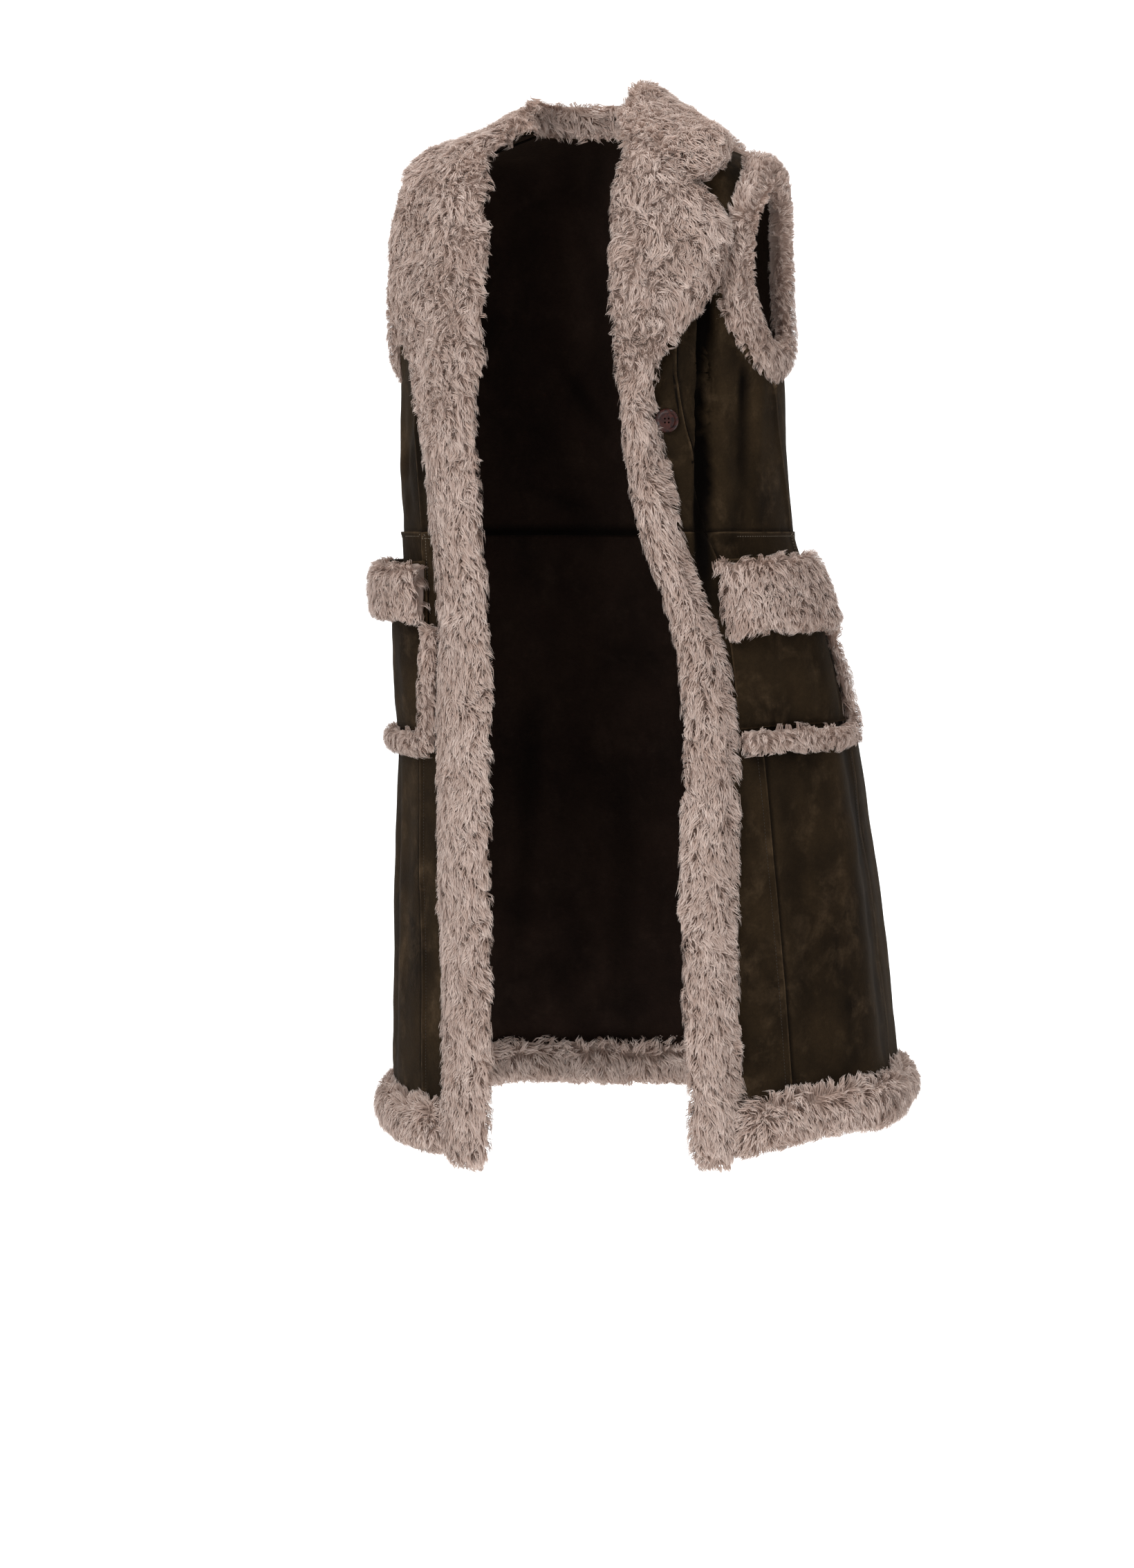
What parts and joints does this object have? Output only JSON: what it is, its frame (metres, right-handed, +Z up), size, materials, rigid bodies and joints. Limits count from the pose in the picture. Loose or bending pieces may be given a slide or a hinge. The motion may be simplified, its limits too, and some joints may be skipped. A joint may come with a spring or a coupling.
{
  "type": "faux shearling vest",
  "caption": "Long open vest of dark suede-faced cloth with a deep curly pile collar, lapels, edging, hem band, armhole rims and pocket cuffs, in its worn shape.",
  "frame": {"origin": "centre of the neck ring, on the level of the neck seam, where the wearer's neck and shoulders hold the vest up", "axes": "+Z up along the wearer, -Y the way the vest faces, +X towards the wearer's left side"},
  "size_m": [0.6728, 0.5451, 1.2639],
  "materials": {
    "suede_cloth": "napped suede-look face, mottled and lightly scuffed, dark brown",
    "pile_trim": "long curly faux fur pile, pinkish taupe",
    "horn_button": "glossy, very dark oxblood"
  },
  "bodies": {
    "root": {"upper_back": "suede_cloth", "upper_centre_front_left": "suede_cloth", "upper_centre_front_right": "suede_cloth", "upper_side_front_left": "suede_cloth", "upper_side_front_right": "suede_cloth", "skirt_back": "suede_cloth", "skirt_centre_front_left": "suede_cloth", "skirt_centre_front_right": "suede_cloth", "skirt_side_front_left": "suede_cloth", "skirt_side_front_right": "suede_cloth", "pocket_left": "suede_cloth", "pocket_right": "suede_cloth", "armhole_trim_left": "pile_trim", "armhole_trim_right": "pile_trim", "collar": "pile_trim", "front_trim_left": "pile_trim", "front_trim_right": "pile_trim", "hem_trim": "pile_trim", "pocket_cuff_left": "pile_trim", "pocket_cuff_right": "pile_trim", "pocket_piping_left": "pile_trim", "pocket_piping_right": "pile_trim", "button": "horn_button"}
  },
  "joints": []
}
